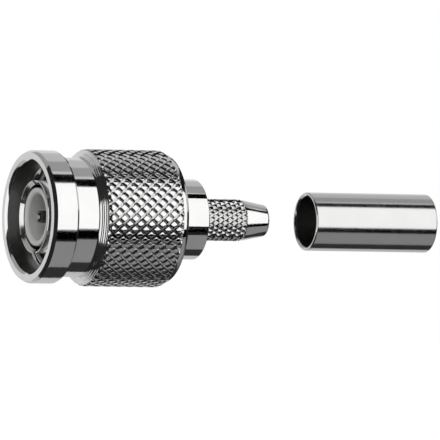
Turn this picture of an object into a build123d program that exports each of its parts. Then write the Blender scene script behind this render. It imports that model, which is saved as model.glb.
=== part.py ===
"""A TNC plug for crimping on a thin coaxial cable, with its crimp ferrule slid off the back.

The connector's axis is X. Its origin is the centre of the mating plane, which is the plane of the
outer contact's tips. The mating face looks towards -X, and the cable comes in from +X.
All sizes are in millimetres.
"""

import os
from math import cos, pi, sin

from build123d import *

# Coupling thread: 7/16-28, left as a plain bore at its minor diameter. The plug is sized inwards
# from it, and the nut outwards.
thread_minor_diameter = 10.3
thread_length = 6.4
thread_lead_in = 0.45  # height and length of the bevel that starts the thread

# Outer contact: a thin tube slit into spring fingers, with a thicker stem pressed into the body
contact_wall = 0.45
contact_reach = 5.3  # from the tips to the gasket
contact_stem_wall = 0.7
contact_seat_depth = 3.5  # how far the stem goes into the body
contact_tip_chamfer = 0.15
finger_count = 6
slot_width = 0.45
slot_length = 4.6
slot_turn = 26.0  # degrees from +Y to the first slot, seen from behind

# Centre pin
pin_diameter = 1.35
pin_setback = 0.3  # from the mating plane back to the pin's tip
pin_tip_radius = 0.5
barrel_diameter = 2.06
barrel_show = 0.15  # how far its shoulder stands out of the recess's floor
barrel_reach = 2.7  # how far it reaches past the insulator
barrel_collar_height = 0.32
barrel_collar_length = 0.5
solder_cup_wall = 0.55
solder_cup_depth = 2.3
sight_hole_diameter = 0.5

# Insulator
insulator_setback = 0.25  # from the mating plane back to its front face
insulator_finger_gap = 0.375  # room for the fingers to spring inwards
insulator_lip_wall = 0.675  # wall round the recess
insulator_recess_depth = 5.25
insulator_neck_length = 5.55  # length of the thinner front part
insulator_edge = 0.12

# Gasket
gasket_thickness = 1.0
gasket_edge = 0.15

# Body: flange, collar and crimp nose in one turned piece
flange_length = 4.4
flange_width = 0.75  # from the contact's stem out to the flange's edge
flange_step = 0.62  # from the flange down to the collar, in radius
collar_show = 3.55  # what shows of the collar behind the nut
collar_edge = 0.12
cavity_step = 0.55  # ledge that stops the insulator
cavity_length = 3.0
cable_bore = 3.0
nose_wall = 0.7
nose_grip_length = 5.6
nose_plain_length = 1.35
nose_taper_length = 1.55
nose_tip_wall = 0.22

# Retaining ring
ring_thickness = 0.7
ring_bite = 0.58  # how far it reaches into the collar
ring_reach = 0.5  # how far it reaches into the nut's lip
ring_gap = 1.2

# Coupling nut
nut_lead = 0.7  # how far the nut reaches in front of the mating plane
nut_lip_length = 4.6
nut_rim_wall = 1.15
nut_rim_length = 2.8
nut_rim_edge = 0.3
nut_neck_wall = 0.85
nut_neck_length = 2.8
nut_flare_length = 0.75
nut_grip_wall = 1.85
nut_tail_length = 0.8
nut_tail_fall = 0.6
nut_runout_length = 0.45  # shallow cone at each end of the grip, where the knurl runs out
nut_runout_depth = 0.27
nut_mouth_depth = 2.2
nut_mouth_shoulder = 0.5  # ledge between the mouth and the thread
nut_mouth_chamfer = 0.27
relief_depth = 0.5  # behind the thread, in radius

# Knurls: raised diamonds with flat tops
nut_knurl_count = 40  # diamonds round the nut
nut_knurl_pitch = 1.29  # along the axis
nut_knurl_depth = 0.2
nut_knurl_flat = 0.5  # width of a flat top as a share of the diamond
nose_knurl_count = 24
nose_knurl_pitch = 1.1
nose_knurl_depth = 0.105
nose_knurl_flat = 0.45
knurl_skin = 0.01  # how far the diamonds' tops lie under the turned blank

# Crimp ferrule
ferrule_wall = 0.425
ferrule_length = 14.6
ferrule_gap = 5.05  # from the nose's tip to the ferrule, as it lies slid off
ferrule_outer_edge = 0.12
ferrule_inner_edge = 0.18
braid_room = 0.47  # between nose and ferrule, in radius

# Clearances
seat_clearance = 0.01  # pieces pressed or pushed together
gasket_clearance = 0.05  # gasket on the contact's stem
flange_clearance = 0.15  # flange inside the thread, in radius
groove_clearance = 0.1  # each side of the retaining ring, along the axis
groove_depth_clearance = 0.2  # nut's groove beyond the ring, in radius
ring_seat_clearance = 0.05  # body's groove inside the ring, in radius
nut_play = 0.1  # nut along the axis
nut_running_clearance = 0.07  # nut's lip on the collar, in radius

# Radii
thread_minor = thread_minor_diameter / 2
flange = thread_minor - flange_clearance
contact_stem = flange - flange_width
contact_bore = contact_stem - contact_stem_wall
contact_outer = contact_bore + contact_wall
insulator_front = contact_bore - insulator_finger_gap
insulator_back = contact_bore - seat_clearance
insulator_recess = insulator_front - insulator_lip_wall
cavity = contact_bore - cavity_step
collar = flange - flange_step
lip_bore = collar + nut_running_clearance
nose = cable_bore / 2 + nose_wall
nose_grip = nose + nose_knurl_depth
nose_tip = cable_bore / 2 + nose_tip_wall
relief = thread_minor + relief_depth
nut_mouth = thread_minor + thread_lead_in + nut_mouth_shoulder
nut_rim = nut_mouth + nut_rim_wall
nut_neck = relief + nut_neck_wall
nut_grip = relief + nut_grip_wall
nut_tail = nut_grip - nut_tail_fall
nut_runout = nut_grip - nut_runout_depth
ferrule_bore = nose_grip + braid_room
ferrule_outer = ferrule_bore + ferrule_wall

# Places along the axis
gasket_front = contact_reach
flange_front = gasket_front + gasket_thickness
flange_rear = flange_front + flange_length
contact_rear = flange_front + contact_seat_depth
insulator_rear = contact_rear
recess_floor = insulator_setback + insulator_recess_depth
cavity_rear = contact_rear + cavity_length
lip_front = flange_rear + nut_play
nut_front = -nut_lead
nut_rear = lip_front + nut_lip_length
ring_middle = (lip_front + nut_rear) / 2
collar_rear = nut_rear + collar_show
nose_grip_rear = collar_rear + nose_grip_length
nose_taper_front = nose_grip_rear + nose_plain_length
nose_rear = nose_taper_front + nose_taper_length
ferrule_front = nose_rear + ferrule_gap
ferrule_rear = ferrule_front + ferrule_length


def turned(points):
    """Adds the ring or shaft whose half section runs through these (x, radius) points."""
    with BuildSketch(Plane.XZ) as section:
        with BuildLine():
            Polyline(points, close=True)
        make_face()
    revolve(section.sketch, axis=Axis.X)


def groove(middle, width, inner, outer):
    """Cuts a square ring groove round the axis, from one radius to another."""
    with BuildSketch(Plane.YZ.offset(middle - width / 2)) as ring:
        Circle(outer)
        if inner > 0:
            Circle(inner, mode=Mode.SUBTRACT)
    extrude(ring.sketch, amount=width, mode=Mode.SUBTRACT)


def circles_at(part, x, radius):
    """The part's round edges of this radius in the plane at x."""
    found = part.edges().filter_by(GeomType.CIRCLE)
    return [
        edge
        for edge in found
        if abs(edge.center().X - x) < 1e-4 and abs(edge.radius - radius) < 1e-4
    ]


def round_the_axis(x, across, out, angle):
    """A point at a height and sideways distance from a line that is turned about the axis."""
    return (
        x,
        out * cos(angle) - across * sin(angle),
        out * sin(angle) + across * cos(angle),
    )


def knurl_cutter(front, rear, crest, depth, count, pitch, flat):
    """The metal that a knurling tool moves away round a shaft: a ring whose inner wall is diamonds.

    Every diamond has four flat slopes and a flat top. They stand in rows, each row turned by half a
    diamond from the one before, and the two end rows are half diamonds.
    """
    root = crest - depth
    rim = crest + depth
    rows = max(1, round((rear - front) / pitch))
    half_x = (rear - front) / rows / 2
    half_turn = pi / count
    # The slopes lie in planes through the diamond's low corners, and the top cuts all four alike
    lean = (1 - flat) / depth
    half_width = root * sin(half_turn) / (1 + root * (1 - cos(half_turn)) * lean)
    faces = []
    ends = {0: [], 2 * rows: []}
    for row in range(2 * rows + 1):
        x = front + row * half_x
        for column in range(count):
            angle = (2 * column + row % 2) * half_turn
            side = root * sin(half_turn)
            side_out = root * cos(half_turn)
            low = [
                round_the_axis(x + half_x, 0, root, angle),
                round_the_axis(x, side, side_out, angle),
                round_the_axis(x - half_x, 0, root, angle),
                round_the_axis(x, -side, side_out, angle),
            ]
            high = [
                round_the_axis(x + flat * half_x, 0, crest, angle),
                round_the_axis(x, flat * half_width, crest, angle),
                round_the_axis(x - flat * half_x, 0, crest, angle),
                round_the_axis(x, -flat * half_width, crest, angle),
            ]
            corners = [0, 1, 2, 3]
            if row == 0:
                corners = [3, 0, 1]
            elif row == 2 * rows:
                corners = [1, 2, 3]
            faces.append([high[i] for i in corners])
            slopes = zip(corners, corners[1:] + corners[:1])
            for i, j in slopes:
                if (i - j) % 4 != 2:
                    faces.append([low[i], low[j], high[j], high[i]])
            if row in ends:
                ends[row] += [low[3], high[3], high[1]]
    walls = [Face(Wire.make_polygon(corners, close=True)) for corners in faces]
    for points in ends.values():
        circle = Wire.make_circle(rim, Plane.YZ.offset(points[0][0]))
        walls.append(Face(circle, [Wire.make_polygon(points, close=True)]))
    walls.append(Face.extrude(Edge.make_circle(rim, Plane.YZ.offset(front)), (rear - front, 0, 0)))
    return Solid(Shell(walls))


# Outer contact. The slots are sawn in from the tips before the tube is pressed in.
with BuildPart() as outer_contact:
    turned(
        [
            (0, contact_bore),
            (0, contact_outer),
            (contact_reach, contact_outer),
            (contact_reach, contact_stem),
            (contact_rear, contact_stem),
            (contact_rear, contact_bore),
        ]
    )
    chamfer(circles_at(outer_contact.part, 0, contact_outer), contact_tip_chamfer)
    with BuildSketch(Plane.YZ):
        with PolarLocations(contact_outer, finger_count, start_angle=slot_turn):
            Rectangle(contact_outer, slot_width)
    extrude(amount=slot_length, mode=Mode.SUBTRACT)

# Centre pin: it goes in from behind until its small collar meets the insulator
barrel = barrel_diameter / 2
barrel_front = recess_floor - barrel_show
barrel_rear = insulator_rear + barrel_reach
barrel_collar = barrel + barrel_collar_height
barrel_collar_rear = insulator_rear + barrel_collar_length
with BuildPart() as center_pin:
    turned(
        [
            (pin_setback, 0),
            (pin_setback, pin_diameter / 2),
            (barrel_front, pin_diameter / 2),
            (barrel_front, barrel),
            (insulator_rear, barrel),
            (insulator_rear, barrel_collar),
            (barrel_collar_rear, barrel_collar),
            (barrel_collar_rear, barrel),
            (barrel_rear, barrel),
            (barrel_rear, 0),
        ]
    )
    fillet(circles_at(center_pin.part, pin_setback, pin_diameter / 2), pin_tip_radius)
    with BuildSketch(Plane.YZ.offset(barrel_rear)):
        Circle(barrel - solder_cup_wall)
    extrude(amount=-solder_cup_depth, mode=Mode.SUBTRACT)
    # Sight hole, through one wall, where the soldered wire is checked
    with BuildSketch(Plane.XY):
        with Locations((barrel_rear - solder_cup_depth / 2, 0)):
            Circle(sight_hole_diameter / 2)
    extrude(amount=barrel_diameter, mode=Mode.SUBTRACT)

# Insulator
neck_rear = insulator_setback + insulator_neck_length
with BuildPart() as insulator:
    turned(
        [
            (insulator_setback, insulator_recess),
            (insulator_setback, insulator_front),
            (neck_rear, insulator_front),
            (neck_rear, insulator_back),
            (insulator_rear, insulator_back),
            (insulator_rear, barrel + seat_clearance),
            (recess_floor, barrel + seat_clearance),
            (recess_floor, insulator_recess),
        ]
    )
    mouth = circles_at(insulator.part, insulator_setback, insulator_recess)
    brim = circles_at(insulator.part, insulator_setback, insulator_front)
    chamfer(mouth + brim, insulator_edge)

# Gasket, slipped over the stem against the flange
gasket_bore = contact_stem + gasket_clearance
with BuildPart() as gasket:
    turned(
        [
            (gasket_front, gasket_bore),
            (gasket_front, flange),
            (flange_front, flange),
            (flange_front, gasket_bore),
        ]
    )
    for side in (gasket_front, flange_front):
        chamfer(circles_at(gasket.part, side, flange), gasket_edge)

# Body
ring_inner = collar - ring_bite
ring_outer = lip_bore + ring_reach
groove_width = ring_thickness + 2 * groove_clearance
with BuildPart() as body:
    with BuildSketch(Plane.XZ):
        with BuildLine():
            Polyline(
                (nose_taper_front, nose),
                (nose_grip_rear, nose),
                (nose_grip_rear, nose_grip),
                (collar_rear, nose_grip),
                (collar_rear, collar),
                (flange_rear, collar),
                (flange_rear, flange),
                (flange_front, flange),
                (flange_front, contact_stem + seat_clearance),
                (contact_rear, contact_stem + seat_clearance),
                (contact_rear, cavity),
                (cavity_rear, cavity),
                (cavity_rear, cable_bore / 2),
                (nose_rear, cable_bore / 2),
                (nose_rear, nose_tip),
            )
            # The tip tapers in a slightly bulging curve, so that the braid slides on
            TangentArc((nose_taper_front, nose), (nose_rear, nose_tip), tangent=(1, 0))
        make_face()
    revolve(axis=Axis.X)
    groove(ring_middle, groove_width, ring_inner - ring_seat_clearance, flange)
    chamfer(circles_at(body.part, collar_rear, collar), collar_edge)
    nose_teeth = knurl_cutter(
        collar_rear,
        nose_grip_rear,
        nose_grip - knurl_skin,
        nose_knurl_depth,
        nose_knurl_count,
        nose_knurl_pitch,
        nose_knurl_flat,
    )
    add(nose_teeth, mode=Mode.SUBTRACT)

# Retaining ring: a flat split ring, half in the body's groove and half in the nut's
with BuildPart() as retaining_ring:
    with BuildSketch(Plane.YZ.offset(ring_middle - ring_thickness / 2)):
        Circle(ring_outer)
        Circle(ring_inner, mode=Mode.SUBTRACT)
        with Locations((0, ring_outer)):
            Rectangle(ring_gap, 2 * ring_outer, mode=Mode.SUBTRACT)
    extrude(amount=ring_thickness)

# Coupling nut. It is turned first, and its grip is knurled between the flare and the tail.
rim_rear = nut_front + nut_rim_length
nut_neck_rear = rim_rear + nut_neck_length
grip_front = nut_neck_rear + nut_flare_length
tail_front = nut_rear - nut_tail_length
mouth_floor = nut_front + nut_mouth_depth
thread_rear = mouth_floor + thread_length
with BuildPart() as coupling_nut:
    with BuildSketch(Plane.XZ):
        with BuildLine():
            slope = (nut_runout_length, -nut_runout_depth)
            flare_top = (grip_front - nut_runout_length, nut_runout)
            tail_top = (tail_front + nut_runout_length, nut_runout)
            TangentArc(flare_top, (nut_neck_rear, nut_neck), tangent=(-slope[0], slope[1]))
            Polyline(flare_top, (grip_front, nut_grip), (tail_front, nut_grip), tail_top)
            TangentArc(tail_top, (nut_rear, nut_tail), tangent=slope)
            Polyline(
                (nut_rear, nut_tail),
                (nut_rear, lip_bore),
                (lip_front, lip_bore),
                (lip_front, relief),
                (thread_rear, relief),
                (thread_rear, thread_minor),
                (mouth_floor + thread_lead_in, thread_minor),
                (mouth_floor, thread_minor + thread_lead_in),
                (mouth_floor, nut_mouth),
                (nut_front, nut_mouth),
                (nut_front, nut_rim),
                (rim_rear, nut_rim),
                (rim_rear, nut_neck),
                (nut_neck_rear, nut_neck),
            )
        make_face()
    revolve(axis=Axis.X)
    groove(ring_middle, groove_width, 0, ring_outer + groove_depth_clearance)
    fillet(circles_at(coupling_nut.part, nut_front, nut_rim), nut_rim_edge)
    chamfer(circles_at(coupling_nut.part, nut_front, nut_mouth), nut_mouth_chamfer)
    grip_teeth = knurl_cutter(
        nut_neck_rear,
        nut_rear,
        nut_grip - knurl_skin,
        nut_knurl_depth,
        nut_knurl_count,
        nut_knurl_pitch,
        nut_knurl_flat,
    )
    add(grip_teeth, mode=Mode.SUBTRACT)

# Crimp ferrule
with BuildPart() as crimp_ferrule:
    turned(
        [
            (ferrule_front, ferrule_bore),
            (ferrule_front, ferrule_outer),
            (ferrule_rear, ferrule_outer),
            (ferrule_rear, ferrule_bore),
        ]
    )
    for end in (ferrule_front, ferrule_rear):
        chamfer(circles_at(crimp_ferrule.part, end, ferrule_bore), ferrule_inner_edge)
        chamfer(circles_at(crimp_ferrule.part, end, ferrule_outer), ferrule_outer_edge)

pieces = {
    "outer_contact": outer_contact,
    "center_pin": center_pin,
    "insulator": insulator,
    "gasket": gasket,
    "body": body,
    "retaining_ring": retaining_ring,
    "coupling_nut": coupling_nut,
    "crimp_ferrule": crimp_ferrule,
}
os.makedirs("parts", exist_ok=True)
for name, piece in pieces.items():
    piece.part.label = name
    export_step(piece.part, f"parts/{name}.step")

print(f"nut {nut_front:.2f} to {nut_rear:.2f}, nose ends at {nose_rear:.2f}")
print(f"ferrule slides {ferrule_front - collar_rear - nut_play:.2f} to its seat")
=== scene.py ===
# %% [markdown]
# # A crimp plug for thin coaxial cable
#
# The real object is a stack of turned brass pieces with nickel plate, a white plastic insulator and a
# loose crimp ferrule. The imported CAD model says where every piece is. This script remakes the pieces
# that are seen with finer edges and finishes, in the same place, and lights them as a studio would.

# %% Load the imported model
import math

import bmesh
import bpy
from mathutils import Matrix, Vector


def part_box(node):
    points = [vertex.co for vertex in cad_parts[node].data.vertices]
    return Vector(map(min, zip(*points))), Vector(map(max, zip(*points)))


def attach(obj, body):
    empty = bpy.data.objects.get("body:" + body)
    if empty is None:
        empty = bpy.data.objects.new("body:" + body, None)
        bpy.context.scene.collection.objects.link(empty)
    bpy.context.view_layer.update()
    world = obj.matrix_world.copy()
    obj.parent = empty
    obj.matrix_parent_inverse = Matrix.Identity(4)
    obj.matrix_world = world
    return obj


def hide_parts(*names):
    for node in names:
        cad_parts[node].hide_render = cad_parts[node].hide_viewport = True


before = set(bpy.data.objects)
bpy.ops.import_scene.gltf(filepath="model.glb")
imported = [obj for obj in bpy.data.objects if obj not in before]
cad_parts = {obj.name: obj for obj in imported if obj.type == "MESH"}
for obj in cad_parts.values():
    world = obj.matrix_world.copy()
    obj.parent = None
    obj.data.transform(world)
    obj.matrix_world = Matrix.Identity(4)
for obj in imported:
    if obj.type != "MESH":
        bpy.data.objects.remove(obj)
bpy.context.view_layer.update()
scene = bpy.context.scene
print("CAD nodes:", ", ".join(sorted(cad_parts)))

# %% [markdown]
# ## Millimetres, and the size of a CAD node
#
# Blender counts in metres, and a lathe's drawing is in millimetres. Every outline below is in
# millimetres, and a mesh is scaled to metres when it is finished. Where a piece starts and ends and
# how thick it is could be typed in once more. Here the box of its CAD node says so, and only the
# shapes between these limits are written down.

# %% Units and sizes
MM = 0.001
TURN = 2 * math.pi
MERGE = 1e-5  # millimetres: points as near as this are one point
NEAR = 1e-3  # millimetres: a point as near as this is at a place that is asked for


def node_size(node):
    """Where a turned CAD node starts and ends on the axis, and its radius, in millimetres."""
    low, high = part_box(node)
    return [round(metres / MM, 3) for metres in (low.x, high.x, high.z)]


# %% [markdown]
# ## The camera
#
# A catalogue photograph of a part this small is taken with a long lens from a fair distance, so that
# the pieces hardly shrink towards the back. A camera without any perspective would be too flat. A
# 1200 mm lens at 1.6 m has the little that is needed. The camera looks from the mating side, 24.4
# degrees round from square on, and leans by one degree.

# %% Camera
view_turn = math.radians(-24.4)
view_lean = math.radians(1.0)
view_distance = 1.6045
lens_length, film_width = 1200, 36  # millimetres
aim = Vector((22.25 * MM, 0, 0))  # the middle of the picture
right = Vector((math.cos(view_turn), math.sin(view_turn), 0))
back = Vector((math.sin(view_turn), -math.cos(view_turn), 0))
facing = Matrix((right, (0, 0, 1), back)).transposed() @ Matrix.Rotation(view_lean, 3, "Z")
camera_data = bpy.data.cameras.new("camera")
camera_data.lens = lens_length
camera_data.sensor_width = film_width
camera_data.clip_start = 0.02
camera = bpy.data.objects.new("camera", camera_data)
camera.matrix_world = Matrix.Translation(aim + back * view_distance) @ facing.to_4x4()
scene.collection.objects.link(camera)
scene.camera = camera
print("width of the view at the part: %.1f mm" % (view_distance / MM * film_width / lens_length))

# %% [markdown]
# ## Sums in a material
#
# A material's nodes are easier to read as a formula. This class stands for one socket. Adding or
# multiplying two of them adds the Math node that does it, and any other node comes from one method.

# %% A socket that can be added and multiplied
class Wire:
    """One output of a material's nodes."""

    def __init__(self, tree, socket=None):
        self.tree = tree
        self.socket = socket

    def node(self, kind, settings=None, sockets=None, output=0):
        """Adds a node, gives it its settings and then its sockets, and returns one output of it."""
        made = self.tree.nodes.new("ShaderNode" + kind)
        for name, value in (settings or {}).items():
            setattr(made, name, value)
        for name, value in (sockets or {}).items():
            if isinstance(value, Wire):
                self.tree.links.new(value.socket, made.inputs[name])
            else:
                made.inputs[name].default_value = value
        return Wire(self.tree, made.outputs[output] if len(made.outputs) else None)

    def maths(self, operation, first, second):
        return self.node("Math", {"operation": operation}, {0: first, 1: second})

    def __add__(self, other):
        return self.maths("ADD", self, other)

    def __sub__(self, other):
        return self.maths("SUBTRACT", self, other)

    def __rsub__(self, other):
        return self.maths("SUBTRACT", other, self)

    def __mul__(self, other):
        return self.maths("MULTIPLY", self, other)

    __radd__ = __add__
    __rmul__ = __mul__

    def mixed(self, first, second):
        """A colour that goes from the first to the second as this value goes from 0 to 1."""
        colours = {0: self, 6: (*first, 1), 7: (*second, 1)}
        return self.node("Mix", {"data_type": "RGBA"}, colours, output=2)


def new_material(name):
    """An empty material and a Wire to build it with."""
    material = bpy.data.materials.new(name)
    material.use_nodes = True
    material.node_tree.nodes.clear()
    return material, Wire(material.node_tree)


print("a socket can now stand in a formula")

# %% [markdown]
# ## Turned and plated metal
#
# A lathe tool leaves fine rings round the axis on every face that it cuts, flat ones too, and the
# nickel plate keeps them. They spread a reflection along the axis and give its edges a fine grain.
# A wave pattern would be too even for them. Here they come from noise that depends only on a point's
# place along the axis and its distance from it. A second, finer noise in all directions is the grain
# of the plate.

# %% Materials: plated metals
PER_MM = 1 / MM  # scale of a noise with one feature to the millimetre
MICRON = 1e-6


def plated_metal(name, colour, roughness, ring_depth, grain_depth):
    """Plated metal with turning rings. The depths are in micrometres."""
    material, wire = new_material(name)
    place = wire.node("TexCoord", output="Object")
    x = wire.node("SeparateXYZ", sockets={0: place}, output="X")
    across = wire.node("VectorMath", {"operation": "MULTIPLY"}, {0: place, 1: (0, 1, 1)})
    radius = wire.node("VectorMath", {"operation": "LENGTH"}, {0: across}, output="Value")
    wobble = wire.node("TexNoise", sockets={"Vector": place, "Scale": 0.3 * PER_MM, "Detail": 1})
    tool_path = x + radius * 0.83 + wobble * (0.06 * MM)
    rings = wire.node(
        "TexNoise",
        {"noise_dimensions": "1D"},
        {"W": tool_path, "Scale": 4.2 * PER_MM, "Detail": 4, "Roughness": 0.72},
    )
    grain = wire.node("TexNoise", sockets={"Vector": place, "Scale": 9 * PER_MM, "Detail": 3})
    clouds = wire.node("TexNoise", sockets={"Vector": place, "Scale": 0.42 * PER_MM, "Detail": 3})
    ringed = wire.node("Bump", sockets={"Height": rings, "Distance": ring_depth * MICRON})
    grained = wire.node(
        "Bump", sockets={"Height": grain, "Distance": grain_depth * MICRON, "Normal": ringed}
    )
    darker = [c * 0.93 for c in colour]
    lighter = [min(1, c * 1.05) for c in colour]
    metal = wire.node(
        "BsdfPrincipled",
        sockets={
            "Base Color": clouds.mixed(darker, lighter),
            "Metallic": 1,
            "Roughness": roughness + (clouds + rings - 1) * 0.1,
            "Normal": grained,
        },
    )
    wire.node("OutputMaterial", sockets={"Surface": metal})
    return material


bright_nickel = plated_metal("bright_nickel", (0.775, 0.775, 0.77), 0.09, 1.6, 1.6)
tube_nickel = plated_metal("tube_nickel", (0.7, 0.7, 0.695), 0.15, 2.0, 2.6)
# The bore finish is rougher, as a bored face is. Its darker colour is painted shade for the inside of
# the bores.
bore_nickel_painted_shade = plated_metal("bore_nickel_painted_shade", (0.44, 0.44, 0.435), 0.34, 3.0, 2.0)
contact_nickel = plated_metal("contact_nickel", (0.75, 0.75, 0.745), 0.18, 2.5, 0.5)
# The pin's very dark colour is painted shade, because the pin sits deep in the insulator's recess.
pin_metal_painted_shade = plated_metal("pin_metal_painted_shade", (0.2, 0.197, 0.19), 0.14, 1.0, 0.4)
spring_steel = plated_metal("spring_steel", (0.55, 0.55, 0.54), 0.3, 1.0, 1.5)
print("metals:", ", ".join(m.name for m in (bright_nickel, tube_nickel, bore_nickel_painted_shade)))
print("and:", ", ".join(m.name for m in (contact_nickel, pin_metal_painted_shade, spring_steel)))

# %% [markdown]
# ## Plastic and rubber
#
# The insulator is turned from a white plastic that looks like hard wax. Light goes a little way into
# it, so its edges are soft, and its gloss is broad. The seal is moulded rubber, dull and slightly
# mottled. One function makes both, because they differ in their numbers only.

# %% Materials: plastic and rubber
def soft_material(name, dark, light, roughness, grain_depth, depth_of_light):
    """A dull material. Its grain is in micrometres, and light goes so many millimetres into it."""
    material, wire = new_material(name)
    place = wire.node("TexCoord", output="Object")
    clouds = wire.node("TexNoise", sockets={"Vector": place, "Scale": 0.6 * PER_MM, "Detail": 3})
    grain = wire.node("TexNoise", sockets={"Vector": place, "Scale": 6 * PER_MM, "Detail": 4})
    skin = wire.node("Bump", sockets={"Height": grain, "Distance": grain_depth * MICRON})
    dull = wire.node(
        "BsdfPrincipled",
        sockets={
            "Base Color": clouds.mixed(dark, light),
            "Roughness": roughness + (grain - 0.5) * 0.2,
            "Subsurface Weight": 0.25 if depth_of_light else 0,
            "Subsurface Radius": (1, 1, 1),
            "Subsurface Scale": depth_of_light * MM,
            "Normal": skin,
        },
    )
    wire.node("OutputMaterial", sockets={"Surface": dull})
    return material


# The insulator is white plastic. Its mid grey here is painted shade for the shade that it gets inside
# the metal.
white_plastic_painted_shade = soft_material("white_plastic_painted_shade", (0.48, 0.48, 0.47), (0.54, 0.54, 0.53), 0.42, 3, 0.3)
seal_rubber = soft_material("seal_rubber", (0.42, 0.17, 0.12), (0.52, 0.24, 0.18), 0.7, 5, 0)
print("dull materials:", white_plastic_painted_shade.name, seal_rubber.name)

# %% [markdown]
# ## From an outline to a turned piece
#
# Every piece is made on a lathe, so every piece starts as half of its section: a list of places along
# the axis and radii. A cylinder with boolean cuts could do for the simple ones, but its edges would
# stay sharp. Here corners are broken first, while the outline is still a wire, and then the spin
# operator sweeps it round the axis.

# %% Turning helpers
def sweep(bm, geom, steps, angle=TURN):
    """Sweeps vertices and edges about the axis. A full turn closes on its own start."""
    bmesh.ops.spin(
        bm,
        geom=geom,
        cent=(0, 0, 0),
        axis=(1, 0, 0),
        dvec=(0, 0, 0),
        angle=angle,
        steps=steps,
        use_merge=angle == TURN,
    )


def bevel(bm, geom, width, segments, affect):
    """Breaks edges, or the corners of a wire."""
    bmesh.ops.bevel(
        bm,
        geom=geom,
        offset=width,
        offset_type="OFFSET",
        segments=segments,
        profile=0.5,
        affect=affect,
        clamp_overlap=True,
        material=-1,
    )


def turn(outline, steps, closed=True):
    """The surface that an outline sweeps round the axis. A third number rounds that corner."""
    bm = bmesh.new()
    corners = [bm.verts.new((point[0], point[1], 0)) for point in outline]
    ends = corners[1:] + corners[:1] if closed else corners[1:]
    for pair in zip(corners, ends):
        bm.edges.new(pair)
    for corner, point in zip(corners, outline):
        if len(point) == 3:
            bevel(bm, [corner], point[2], 3, "VERTICES")
    sweep(bm, bm.verts[:] + bm.edges[:], steps)
    return bm


def arc(start, heading, end, steps):
    """Points of the arc that leaves the start in a heading and reaches the end."""
    start, end = Vector(start), Vector(end)
    chord = end - start
    side = Vector((-heading[1], heading[0])).normalized()
    radius = chord.length_squared / (2 * chord.dot(side))
    centre = start + side * radius
    first = start - centre
    angle = first.angle_signed(end - centre)
    points = []
    for step in range(1, steps + 1):
        turned = first @ Matrix.Rotation(angle * step / steps, 2)
        points.append(tuple(centre + turned))
    return points


print("helpers for turned pieces are ready")

# %% [markdown]
# ## From a mesh to a piece of the model
#
# A finished piece rides on its CAD body, stands for its CAD node and gets its materials. Its
# object could be scaled and placed. Instead its vertices are scaled to metres and the object stays at
# the origin, as the CAD nodes do, so that patterns and poses fit. Bores are dull on the real pieces,
# because a boring tool leaves coarser rings and plating is thin there, so their faces get a second
# finish. That finish is also darker, and this darkness is painted shade for the inside of a bore.

# %% Finishing helpers
sharp_angle = math.radians(20)
# The second finish paints shade into the bores. The ends of a bore keep the bright finish.
edge_zone = 0.3  # millimetres at the end of a bore that stay bright


def dull_and_shade_bore(bm, x0, x1, limit):
    """Gives the faces between two places, nearer to the axis than a limit, the second finish, darkened
    as painted shade.
    """
    for face in bm.faces:
        middle = face.calc_center_median()
        if x0 < middle.x < x1 and math.hypot(middle.y, middle.z) < limit:
            face.material_index = 1


def finish_piece(bm, name, body, node, finishes):
    """Makes an object of the mesh, in metres, which rides on a body and stands for a CAD node."""
    bmesh.ops.remove_doubles(bm, verts=bm.verts, dist=MERGE)
    bmesh.ops.dissolve_degenerate(bm, edges=bm.edges, dist=MERGE)
    bmesh.ops.recalc_face_normals(bm, faces=bm.faces)
    open_edges = sum(not edge.is_manifold for edge in bm.edges)
    volume = bm.calc_volume(signed=True)
    bmesh.ops.scale(bm, vec=(MM, MM, MM), verts=bm.verts)
    mesh = bpy.data.meshes.new(name)
    bm.to_mesh(mesh)
    bm.free()
    mesh.shade_smooth()
    mesh.set_sharp_from_angle(angle=sharp_angle)
    for finish in finishes:
        mesh.materials.append(finish)
    piece = bpy.data.objects.new(name, mesh)
    scene.collection.objects.link(piece)
    piece.modifiers.new("flat faces stay flat", "WEIGHTED_NORMAL").keep_sharp = True
    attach(piece, body)
    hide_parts(node)
    triangles = sum(len(face.vertices) - 2 for face in mesh.polygons)
    print(f"{name}: {triangles} triangles, {open_edges} open edges, {volume:.1f} mm3")


print("helpers for finished pieces are ready")

# %% [markdown]
# ## Diamond knurls
#
# A knurling tool presses crossed grooves into the turned grip and leaves rows of raised diamonds. One
# way to make them is a bump map, which fails at the silhouette. Another is to place a pyramid for
# each tooth, which leaves gaps. Here the surface itself is divided: a line is spun into a fine grid,
# each cell gets a diagonal, and dissolving every second corner leaves a net of diamonds. A few insets
# then give each diamond the floor of its groove, its slopes and its domed top.

# %% A net of diamonds
def diamond_net(bm, front, rear, rows, count, root):
    """A round band of diamonds at the knurl's root radius. It starts half a diamond early."""
    half = (rear - front) / rows / 2
    line = [bm.verts.new((front + k * half, root, 0)) for k in range(-1, 2 * rows + 2)]
    edges = [bm.edges.new(pair) for pair in zip(line, line[1:])]
    sweep(bm, line + edges, 2 * count)

    def is_corner(vert):
        station = round((vert.co.x - front) / half)
        column = round(math.atan2(vert.co.z, vert.co.y) / (math.pi / count))
        return (station + column) % 2 == 1

    bmesh.ops.connect_verts(bm, verts=[v for v in bm.verts if is_corner(v)])
    middles = [v for v in bm.verts if not is_corner(v) and not v.is_boundary]
    bmesh.ops.dissolve_verts(bm, verts=middles)
    bmesh.ops.recalc_face_normals(bm, faces=bm.faces)
    return bm.faces[:]


def raise_diamonds(bm, diamonds, steps):
    """Insets every diamond again and again, each time by a width and a height."""
    for width, height in steps:
        bmesh.ops.inset_individual(
            bm, faces=diamonds, thickness=width, depth=height, use_even_offset=True
        )


print("helpers for diamonds are ready")

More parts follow.
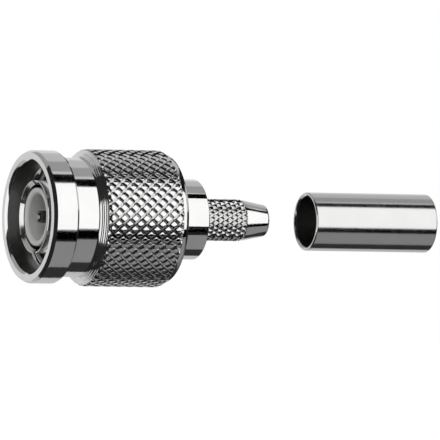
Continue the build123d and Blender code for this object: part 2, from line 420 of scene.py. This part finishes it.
# %% [markdown]
# ## Where a knurl ends
#
# The blank is turned with a bevel at each end of the grip, and the knurling tool bites less deep
# there, so the last diamonds sink into the bevel. Smaller diamonds would be wrong, since the tool has
# one pitch. The band is cut with planes instead, and what stands outside the blank's outline is
# pushed back to it.

# %% Knurled band
bevel_cuts = 4  # pieces that a bevel is cut into, so that the pushed faces follow it


def limit_radius(verts, outline):
    """Pushes every vertex that stands outside an (x, radius) outline back to it."""
    for vert in verts:
        radius = math.hypot(vert.co.y, vert.co.z)
        for (x0, r0), (x1, r1) in zip(outline, outline[1:]):
            if x0 - MERGE <= vert.co.x <= x1 + MERGE:
                limit = r0 + (r1 - r0) * (vert.co.x - x0) / (x1 - x0)
                if radius > limit:
                    vert.co.y *= limit / radius
                    vert.co.z *= limit / radius
                break


def knurled_band(front, rear, rows, count, root, steps, outline):
    """A knurled band, held inside an outline that starts and ends with a bevel and cut off there."""
    bm = bmesh.new()
    raise_diamonds(bm, diamond_net(bm, front, rear, rows, count, root), steps)
    cuts = []
    for (x0, r0), (x1, r1) in zip(outline, outline[1:]):
        if r0 != r1:
            cuts += [x0 + (x1 - x0) * share / bevel_cuts for share in range(bevel_cuts + 1)]
    for x in cuts:
        bmesh.ops.bisect_plane(
            bm,
            geom=bm.verts[:] + bm.edges[:] + bm.faces[:],
            dist=MERGE,
            plane_co=(x, 0, 0),
            plane_no=(1, 0, 0),
            clear_inner=x == cuts[0],
            clear_outer=x == cuts[-1],
        )
    limit_radius(bm.verts, outline)
    return bm


print("helpers for knurled bands are ready")

# %% [markdown]
# ## Carrying a skin on from a knurl
#
# A knurled grip and the plain faces next to it are one piece of metal. Two meshes pushed into each
# other would show a seam and fail as a solid. So the plain faces are extruded from the band's open
# ends, ring by ring, and edges are bevelled once the skin is closed.

# %% Open rings and broken edges
def open_ring(bm, x):
    """The open edges of a mesh in the plane at x."""
    return [
        edge
        for edge in bm.edges
        if edge.is_boundary and all(abs(vert.co.x - x) < NEAR for vert in edge.verts)
    ]


def lengthen(bm, ring, stations):
    """Extrudes a ring of edges from station to station. A station's radius may be a function."""
    for x, radius in stations:
        made = bmesh.ops.extrude_edge_only(bm, edges=ring)["geom"]
        verts = [item for item in made if isinstance(item, bmesh.types.BMVert)]
        ends = set(verts)
        ring = [
            item
            for item in made
            if isinstance(item, bmesh.types.BMEdge) and set(item.verts) <= ends
        ]
        for vert in verts:
            angle = math.atan2(vert.co.z, vert.co.y)
            r = radius(x, angle) if callable(radius) else radius
            vert.co = (x, r * math.cos(angle), r * math.sin(angle))
    return ring


def is_at(vert, x, radius):
    """Whether a vertex lies on the circle with this place and radius."""
    return abs(vert.co.x - x) < NEAR and abs(math.hypot(vert.co.y, vert.co.z) - radius) < NEAR


def break_edges(bm, places, width, segments=2):
    """Bevels the round edges at these (x, radius) places."""
    edges = [
        edge
        for edge in bm.edges
        if any(all(is_at(vert, x, radius) for vert in edge.verts) for x, radius in places)
    ]
    bevel(bm, edges, width, segments, "EDGES")


print("helpers for open rings are ready")

# %% [markdown]
# ## The nut's grip
#
# The nut is the largest piece: a plain rim, a narrower neck, a flare, the knurled grip and a rounded
# tail. The grip comes first, because everything else is carried on from its two open ends. Its
# grooves are V-shaped, so that one side of each mirrors the dark part of the studio and the other the
# bright part, and the tops are slightly domed.

# %% Grip of the coupling nut
nut_front, nut_rear, nut_crest = node_size("coupling_nut")
grip_front, grip_rear = 5.75, 14.7
grip_root, grip_runout, grip_land = 7.288, 7.25, 7.285
grip_outline = [
    (grip_front, grip_runout),
    (6.05, nut_crest),
    (14.5, nut_crest),
    (grip_rear, grip_land),
]
grip_steps = [(0.005, 0), (0.175, 0.184), (0.03, 0.01), (0.09, 0.008)]
nut = knurled_band(
    front=4.9,
    rear=nut_rear,
    rows=8,
    count=40,
    root=grip_root,
    steps=grip_steps,
    outline=grip_outline,
)
front_ring = open_ring(nut, grip_front)
rear_ring = open_ring(nut, grip_rear)
print("edges in the grip's end rings:", len(front_ring), len(rear_ring))

# %% [markdown]
# ## The coupling thread
#
# The thread in the nut's mouth is 7/16-28, right-handed, with flattened roots and crests. A separate
# screw-shaped body could be joined in for it. Instead the nut's skin goes on through the bore in many
# rings, and each vertex of a ring takes the radius that the thread has at its place and angle. The
# mesh stays one closed skin.

# %% Thread
thread_minor, thread_major = 5.15, 5.556
thread_pitch = 25.4 / 28
root_flat, crest_flat = thread_pitch / 8, thread_pitch / 4
flank = (thread_pitch - crest_flat - root_flat) / 2  # length of one slope along the axis
lead_in = 0.45
mouth_floor, thread_rear = 1.5, 7.9
thread_rings = 70


def thread_radius(x, angle):
    """Radius of the threaded bore. A bevel leads into the thread."""
    turns = (x - mouth_floor) / thread_pitch - angle / TURN
    from_root = abs(turns % 1 - 0.5) * thread_pitch
    share = min(1, max(0, (from_root - root_flat / 2) / flank))
    ridge = thread_major - (thread_major - thread_minor) * share
    return max(ridge, thread_minor + lead_in - (x - mouth_floor))


thread_stations = [
    (mouth_floor + (thread_rear - mouth_floor) * ring / thread_rings, thread_radius)
    for ring in range(1, thread_rings + 1)
]
print("turns of thread: %.1f" % ((thread_rear - mouth_floor) / thread_pitch))

# %% [markdown]
# ## The flare
#
# Between the neck and the grip the nut widens in a rough cone. The tool was taken out step by step
# there and left sharp marks, which show as light and dark streaks. A noise in the finish would blur
# them. They are short ledges in the outline: each has a steep wall, a dark cone and a bright slope of
# 45 degrees.

# %% Flare
neck_radius = 6.5
flare_foot = neck_radius + 0.06
flare = []
x, r = grip_front, grip_runout
for slope in (0.03, 0.08, 0.04, 0.04):
    wall = (x - 0.02, r - 0.06)
    cone = (x - 0.11, r - 0.1)
    flare += [wall, cone, (cone[0] - slope, cone[1] - slope)]
    x, r = flare[-1]
flare.append((x - (r - flare_foot), flare_foot))
print("the flare starts at x %.2f mm" % flare[-1][0])

# %% [markdown]
# ## The rest of the nut
#
# From the flare the skin goes on along the neck, over the rim, round into the mouth, through the
# thread and past the groove of the retaining ring to the tail. The other end of the grip becomes the
# smooth land and the round of the tail, and a bridge joins the two. Next to a corner stands one more
# ring, which keeps the shading of the flat or round face beside it even.

# %% Coupling nut
hold = 0.05  # from a corner to the ring that holds the shading
rim_front, rim_rear, rim_radius = -0.29, 2.06, 7.25
rim_face, rim_back = 7.03, 7.14  # where the rim's front and rear chamfers end
neck_front, neck_rear = 2.27, 4.92
mouth_radius, mouth_edge = 6.1, 0.27
relief_radius, relief_rear = 5.65, 10.8
collar_bore = 4.45
groove_front, groove_rear, groove_depth = 12.65, 13.55, 0.7
tail_start, tail_radius = (15.05, 7.19), 7.0

neck = [(neck_rear, neck_radius), (neck_front + hold, neck_radius), (neck_front, neck_radius)]
rim = [
    (neck_front, rim_back),
    (rim_rear, rim_radius),
    (rim_rear - hold, rim_radius),
    (rim_front + hold, rim_radius),
    (rim_front, rim_radius),
    (nut_front, rim_face),
]
mouth = [
    (nut_front, mouth_radius + mouth_edge),
    (nut_front + mouth_edge, mouth_radius),
    (nut_front + mouth_edge + hold, mouth_radius),
    (mouth_floor - hold, mouth_radius),
    (mouth_floor, mouth_radius),
    (mouth_floor, thread_minor + lead_in),
]
bore = [
    (thread_rear, relief_radius),
    (relief_rear, relief_radius),
    (relief_rear, collar_bore),
    (groove_front, collar_bore),
    (groove_front, collar_bore + groove_depth),
    (groove_rear, collar_bore + groove_depth),
    (groove_rear, collar_bore),
    (nut_rear, collar_bore),
]
tail = [(14.74, 7.275), tail_start] + arc(tail_start, (1, -0.35), (nut_rear, tail_radius), 8)
front_ring = lengthen(nut, front_ring, flare + neck + rim + mouth + thread_stations + bore)
rear_ring = lengthen(nut, rear_ring, tail)
bmesh.ops.bridge_loops(nut, edges=front_ring + rear_ring)
break_edges(nut, [(nut_rear, tail_radius), (nut_rear, collar_bore)], 0.05)
break_edges(nut, [(rim_front, rim_radius), (nut_front, rim_face)], 0.02)
break_edges(nut, [mouth[0], mouth[1], mouth[-1]], 0.03)
# Painted shade: the nut's mouth and bore get the darker bore finish.
dull_and_shade_bore(nut, nut_front + edge_zone, mouth_floor - NEAR, mouth_radius + hold)
dull_and_shade_bore(nut, mouth_floor + lead_in, nut_rear - edge_zone, mouth_radius + hold)
nut_finishes = [bright_nickel, bore_nickel_painted_shade]
finish_piece(nut, "coupling_nut_knurled", "nut", "coupling_nut", nut_finishes)

# %% [markdown]
# ## The body
#
# The body runs from the flange inside the nut, through the collar that shows behind it, to the
# knurled nose and its tapered tip. It is made as the nut is: the nose's knurl comes first, and the
# rest of the skin is carried on from its two open ends until they meet in the cable bore.

# %% Body
body_front, body_rear, flange_radius = node_size("body")
contact_front, contact_rear, stem_radius = node_size("outer_contact")
collar_rear, collar_radius, collar_edge = 19.05, 4.38, 0.08
flange_rear, groove_floor = 10.7, 3.75
seat_radius = stem_radius + 0.01
cavity_rear, cavity_radius, cable_bore = 12.8, 3.0, 1.5
nose_rear = 24.55
nose_root, nose_cone, nose_crest = 2.105, 2.2, 2.295
tip_start, tip_radius = (27.2, 1.76), 1.62

nose_outline = [
    (collar_rear, nose_root),
    (19.12, nose_crest),
    (24.42, nose_crest),
    (nose_rear, nose_root),
]
body = knurled_band(
    front=18.95,
    rear=nose_rear,
    rows=5,
    count=22,
    root=nose_root,
    steps=[(0.01, 0), (0.155, 0.17), (0.035, 0.02)],
    outline=nose_outline,
)
collar = [
    (collar_rear, collar_radius - collar_edge),
    (collar_rear - collar_edge, collar_radius),
    (groove_rear, collar_radius),
    (groove_rear, groove_floor),
    (groove_front, groove_floor),
    (groove_front, collar_radius),
    (flange_rear, collar_radius),
]
inside = [
    (flange_rear, flange_radius),
    (body_front, flange_radius),
    (body_front, seat_radius),
    (contact_rear, seat_radius),
    (contact_rear, cavity_radius),
    (cavity_rear, cavity_radius),
    (cavity_rear, cable_bore),
    (body_rear, cable_bore),
]
tip = [(24.62, nose_cone), (24.9, nose_cone), tip_start]
tip += arc(tip_start, (1, -0.19), (body_rear, tip_radius), 5)
front_ring = lengthen(body, open_ring(body, collar_rear), collar + inside)
rear_ring = lengthen(body, open_ring(body, nose_rear), tip)
bmesh.ops.bridge_loops(body, edges=front_ring + rear_ring)
break_edges(body, collar[:2], 0.02)
break_edges(body, inside[:2], 0.04)
break_edges(body, [(body_rear, tip_radius), (body_rear, cable_bore)], 0.02)
finish_piece(body, "body_turned", "plug", "body", [bright_nickel])

# %% [markdown]
# ## The outer contact
#
# The outer contact is a thin tube with six saw cuts, so that its fingers spring. Boolean cuts would
# leave ragged faces. Here the solid tube is turned with its front end left open, where the saw cuts
# will end, and planes along both sides of each cut divide the ring there. Only the parts of the ring
# between the cuts are then extruded forwards, which makes the fingers with parallel gaps, as a saw
# leaves them.

# %% Outer contact
contact_bore, contact_outer, stem_front = 3.55, 4.0, 5.3
slot_rear, slot_half = 4.6, 0.225
slot_count, slot_turn = 6, math.radians(26)
tip_chamfer, tip_edge = 0.35, 0.04

contact = turn(
    [(slot_rear, contact_outer), (stem_front, contact_outer), (stem_front, stem_radius)]
    + [(contact_rear, stem_radius), (contact_rear, contact_bore), (slot_rear, contact_bore)],
    90,
    closed=False,
)
start_turn = Matrix.Rotation(slot_turn, 3, "X")
bmesh.ops.rotate(contact, cent=(0, 0, 0), matrix=start_turn, verts=contact.verts)
bmesh.ops.bridge_loops(contact, edges=open_ring(contact, slot_rear))
slot_sides = []
for cut in range(slot_count // 2):
    angle = slot_turn + cut * TURN / slot_count
    slot_sides.append(Vector((0, -math.sin(angle), math.cos(angle))))
for side in slot_sides:
    for place in (-slot_half, slot_half):
        bmesh.ops.bisect_plane(
            contact,
            geom=contact.verts[:] + contact.edges[:] + contact.faces[:],
            dist=MERGE,
            plane_co=side * place,
            plane_no=side,
        )
fingers = [
    face
    for face in contact.faces
    if all(abs(vert.co.x - slot_rear) < NEAR for vert in face.verts)
    and all(abs(face.calc_center_median().dot(side)) > slot_half for side in slot_sides)
]
made = bmesh.ops.extrude_face_region(contact, geom=fingers)["geom"]
bmesh.ops.delete(contact, geom=fingers, context="FACES")
tips = [item for item in made if isinstance(item, bmesh.types.BMVert)]
bmesh.ops.translate(contact, vec=(contact_front - slot_rear, 0, 0), verts=tips)
break_edges(contact, [(contact_front, contact_bore)], tip_chamfer, segments=1)
break_edges(contact, [(contact_front, contact_outer)], tip_edge, segments=1)
contact_finishes = [contact_nickel]
finish_piece(
    contact, "outer_contact_slit", "plug", "outer_contact", contact_finishes
)

# %% [markdown]
# ## The insulator
#
# The insulator is a plastic ring with a deep round recess for the other half's contact. It could keep
# its CAD shape, but the lip round the recess is well rounded on the real one and catches the light.
# It is one closed outline and one spin, with the lip's radius as the third number of its corner.

# %% Insulator
insulator_front, insulator_rear, insulator_radius = node_size("insulator")
front_radius, shoulder = 3.175, 5.8
recess_radius, recess_floor, pin_hole = 2.5, 5.5, 1.04

insulator = turn(
    [(insulator_front, recess_radius, 0.4), (insulator_front, front_radius, 0.1)]
    + [(shoulder, front_radius), (shoulder, insulator_radius, 0.05)]
    + [(insulator_rear, insulator_radius, 0.05), (insulator_rear, pin_hole)]
    + [(recess_floor, pin_hole), (recess_floor, recess_radius)],
    120,
)
finish_piece(insulator, "insulator_turned", "plug", "insulator", [white_plastic_painted_shade])

# %% [markdown]
# ## The crimp ferrule
#
# The ferrule is a short tube, chamfered at both ends so that it starts easily over the braid. It is
# cut from drawn tube, so its skin is a little duller than the nut's. Two nested cylinders with a
# boolean between them could make it, but one closed outline and one spin give clean chamfers.

# %% Crimp ferrule
ferrule_front, ferrule_rear, ferrule_radius = node_size("crimp_ferrule")
ferrule_bore, bore_chamfer, skin_chamfer = 2.775, 0.18, 0.12

ferrule = turn(
    [
        (ferrule_front + bore_chamfer, ferrule_bore, 0.03),
        (ferrule_front, ferrule_bore + bore_chamfer, 0.03),
        (ferrule_front, ferrule_radius - skin_chamfer, 0.03),
        (ferrule_front + skin_chamfer, ferrule_radius, 0.05),
        (ferrule_rear - skin_chamfer, ferrule_radius, 0.05),
        (ferrule_rear, ferrule_radius - skin_chamfer, 0.03),
        (ferrule_rear, ferrule_bore + bore_chamfer, 0.03),
        (ferrule_rear - bore_chamfer, ferrule_bore, 0.03),
    ],
    180,
)
# Painted shade: the ferrule's bore gets the darker bore finish.
dull_and_shade_bore(ferrule, ferrule_front + edge_zone, ferrule_rear - edge_zone, ferrule_bore + hold)
tube_finishes = [tube_nickel, bore_nickel_painted_shade]
finish_piece(
    ferrule, "crimp_ferrule_turned", "ferrule", "crimp_ferrule", tube_finishes
)

# %% [markdown]
# ## Pieces whose CAD shape is right
#
# The pin, the retaining ring and the gasket are small or hidden. Finer meshes would show nothing
# more, so they stay as CAD nodes and get their finish here.

# %% Finishes of the CAD nodes
for name, material in (
    ("center_pin", pin_metal_painted_shade),
    ("retaining_ring", spring_steel),
    ("gasket", seal_rubber),
):
    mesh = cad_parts[name].data
    mesh.materials.clear()
    mesh.materials.append(material)
    print(name, "is finished in", material.name)

# %% [markdown]
# ## The room that the metal shows
#
# Polished metal has hardly a colour of its own: what is seen is the room round it. A photograph used
# as surroundings would do, but nobody could change it. A product photographer builds that room from
# white sheets and black cards, and so does this script. They are seen in reflections only, so the
# floor and the plastic keep plain light.

# %% A sheet that only reflections show
def glowing(name, strength):
    """A surface that gives off an even grey of this strength."""
    material, wire = new_material(name)
    glow = wire.node("Emission", sockets={"Color": (1, 1, 1, 1), "Strength": strength})
    wire.node("OutputMaterial", sockets={"Surface": glow})
    return material


def card(name, bm, strength):
    """Puts a sheet on the stage that only reflections show."""
    mesh = bpy.data.meshes.new(name)
    bm.to_mesh(mesh)
    bm.free()
    mesh.materials.append(glowing(name, strength))
    sheet = bpy.data.objects.new(name, mesh)
    scene.collection.objects.link(sheet)
    sheet.visible_camera = False
    sheet.visible_diffuse = False
    sheet.visible_shadow = False
    sheet.visible_transmission = False


print("helpers for sheets are ready")

# %% [markdown]
# ## Strips along the room
#
# A turned piece shows the room as bands along its axis. Small cards near the part would give short
# and crooked bands. Long strips in an arc round the axis give straight ones, and a strip's two angles
# say where its band lies. Cylinders mirror the stretch to the right of the middle. Cones and edges
# that face the mating side mirror what is left of it, and those that face the cable what is far to
# the right, so the strips change there.

# %% Strips in an arc
room_radius = 0.5
room_left, room_middle, room_near, room_far, room_right = -0.5, 0.02, 0.33, 0.5, 0.9
arc_step = 5  # degrees


def strip(name, first, last, strength, x0, x1):
    """A strip round the part, between two angles from level at the camera's side upwards."""
    bm = bmesh.new()
    start = math.radians(first)
    place = Vector((0, -math.cos(start), math.sin(start))) * room_radius
    ends = [bm.verts.new((x, place.y, place.z)) for x in (x0, x1)]
    steps = max(2, round(abs(last - first) / arc_step))
    sweep(bm, ends + [bm.edges.new(ends)], steps, math.radians(first - last))
    card(name, bm, strength)


# name, first and last angle in degrees, strength, and both ends along the axis in metres
strips = [
    ("sheet_front", -22, 61.5, 1.25, room_middle, room_right),
    ("card_upper", 61.5, 80, 0.0, room_middle, room_right),
    ("sheet_top_edge", 80, 85, 0.75, room_middle, room_far),
    ("sheet_top_dim", 85, 112, 0.38, room_middle, room_far),
    ("sheet_top", 112, 145, 0.58, room_middle, room_far),
    ("sheet_top_back", 145, 180, 0.76, room_middle, room_near),
    ("card_top", 80, 145, 0.01, room_far, room_right),
    ("card_top_back", 145, 180, 0.01, room_near, room_right),
    ("card_lower", -42, -22, 0.0, room_middle, room_right),
    ("sheet_below", -96, -42, 0.28, room_middle, room_right),
    ("card_below", -131, -96, 0.035, room_middle, room_far),
    ("sheet_below_far", -131, -96, 0.2, room_far, room_right),
    ("sheet_back", -180, -131, 0.6, room_middle, room_near),
    ("card_back", -180, -131, 0.03, room_near, room_right),
    ("left_front", -124, 97, 0.02, room_left, room_middle),
    ("left_top", 97, 150, 0.38, room_left, room_middle),
    ("left_back", 150, 215, 0.75, room_left, room_middle),
    ("left_under", 215, 236, 0.5, room_left, room_middle),
]
for settings in strips:
    strip(*settings)
print("strips:", len(strips))

# %% [markdown]
# ## Sheets across the ends
#
# The flat faces at the ends of the pieces look along the axis, to the ends of the room. One bright
# sheet on the left lights the nut's front face, and the black cards round it keep the bore and the
# chamfers dark. Lamps would do this too, but would also brighten the plastic.

# %% Sheets across the ends
room_half = 0.55  # half the height and half the width of an end


def end_card(name, x, front, rear, low, high, strength):
    """A flat sheet across one end of the room, between two depths and two heights."""
    bm = bmesh.new()
    upright = Matrix.Rotation(math.pi / 2, 3, "Y")
    bmesh.ops.create_grid(bm, x_segments=1, y_segments=1, size=0.5)
    bmesh.ops.rotate(bm, cent=(0, 0, 0), matrix=upright, verts=bm.verts)
    bmesh.ops.scale(bm, vec=(1, rear - front, high - low), verts=bm.verts)
    bmesh.ops.translate(bm, vec=(x, (front + rear) / 2, (low + high) / 2), verts=bm.verts)
    card(name, bm, strength)


# name, place along the axis, front and rear, low and high, all in metres, and strength
end_cards = [
    ("left_end_level", room_left, -0.38, room_half, -0.3, 0.2, 1.2),
    ("left_end_near", room_left, -room_half, -0.38, -0.3, 0.2, 0.02),
    ("left_end_upper", room_left, -room_half, room_half, 0.2, room_half, 0.03),
    ("left_end_lower", room_left, -room_half, room_half, -room_half, -0.3, 0.03),
    ("right_end_upper", room_right, -room_half, room_half, 0.12, room_half, 0.6),
    ("right_end_level", room_right, -room_half, room_half, -0.35, 0.12, 0.02),
    ("right_end_lower", room_right, -room_half, room_half, -room_half, -0.35, 0.12),
]
for settings in end_cards:
    end_card(*settings)
print("sheets across the ends:", len(end_cards))

# %% [markdown]
# ## The floor
#
# The photograph's ground is white. More light would bleach the metal with it, so the floor is lifted
# to white through Light Path, for the camera alone. The lift adds to the floor's own light, which
# still holds the part's faint shadow. Reflections don't show the floor, because the strips under the
# part take its place.

# %% Floor
floor_lift = 0.54
floor_drop = 0.04
floor_half = 3

floor_material, wire = new_material("pale_floor")
place = wire.node("TexCoord", output="Object")
clouds = wire.node("TexNoise", sockets={"Vector": place, "Scale": 6, "Detail": 3})
paper = wire.node(
    "BsdfPrincipled",
    sockets={"Base Color": clouds.mixed((0.88, 0.88, 0.88), (0.93, 0.93, 0.93)), "Roughness": 0.8},
)
seen = wire.node("LightPath", output="Is Camera Ray")
lift = wire.node("Emission", sockets={"Color": (1, 1, 1, 1), "Strength": seen * floor_lift})
lifted = wire.node("AddShader", sockets={0: paper, 1: lift})
wire.node("OutputMaterial", sockets={"Surface": lifted})
floor_bm = bmesh.new()
bmesh.ops.create_grid(floor_bm, x_segments=8, y_segments=8, size=floor_half)
bmesh.ops.translate(floor_bm, vec=(0, 0, -floor_drop), verts=floor_bm.verts)
floor_mesh = bpy.data.meshes.new("floor")
floor_bm.to_mesh(floor_mesh)
floor_bm.free()
floor_mesh.materials.append(floor_material)
floor = bpy.data.objects.new("floor", floor_mesh)
floor.visible_glossy = False
scene.collection.objects.link(floor)
print("the floor lies %.0f mm under the axis" % (floor_drop / MM))

# %% [markdown]
# ## Background and lamp
#
# The world lights the part evenly and not too strongly. Through Light Path it is full white where the
# camera, a reflection or glass shows it. One large lamp from the front left gives the plastic and the
# floor their direction. Metal doesn't show the lamp, since the sheets are there for that.

# %% World and lamp
even_light = 0.45
lamp_place = Vector((-0.5, -0.55, 0.45))

world = bpy.data.worlds.new("studio")
world.use_nodes = True
world.node_tree.nodes.clear()
wire = Wire(world.node_tree)
seen = wire.node("LightPath", output="Is Camera Ray")
mirrored = wire.node("LightPath", output="Is Glossy Ray")
through = wire.node("LightPath", output="Is Transmission Ray")
shown = wire.maths("MINIMUM", seen + mirrored + through, 1)
brightness = shown * (1 - even_light) + even_light
background = wire.node("Background", sockets={"Color": (1, 1, 1, 1), "Strength": brightness})
wire.node("OutputWorld", sockets={"Surface": background})
scene.world = world

lamp_data = bpy.data.lights.new("lamp_front", "AREA")
lamp_data.shape = "SQUARE"
lamp_data.size = 0.5
lamp_data.energy = 2.4
lamp = bpy.data.objects.new("lamp_front", lamp_data)
lamp_facing = (aim - lamp_place).to_track_quat("-Z", "Y").to_matrix()
lamp.matrix_world = Matrix.Translation(lamp_place) @ lamp_facing.to_4x4()
lamp.visible_glossy = False
scene.collection.objects.link(lamp)
scene.view_settings.view_transform = "Standard"
print("the lamp stands %.2f m from the part" % (aim - lamp_place).length)

# %% [markdown]
# ## The end
#
# The scene is brought up to date once more. The visual model has to stay inside the box of the
# CAD model.

# %% Finish
bpy.context.view_layer.update()
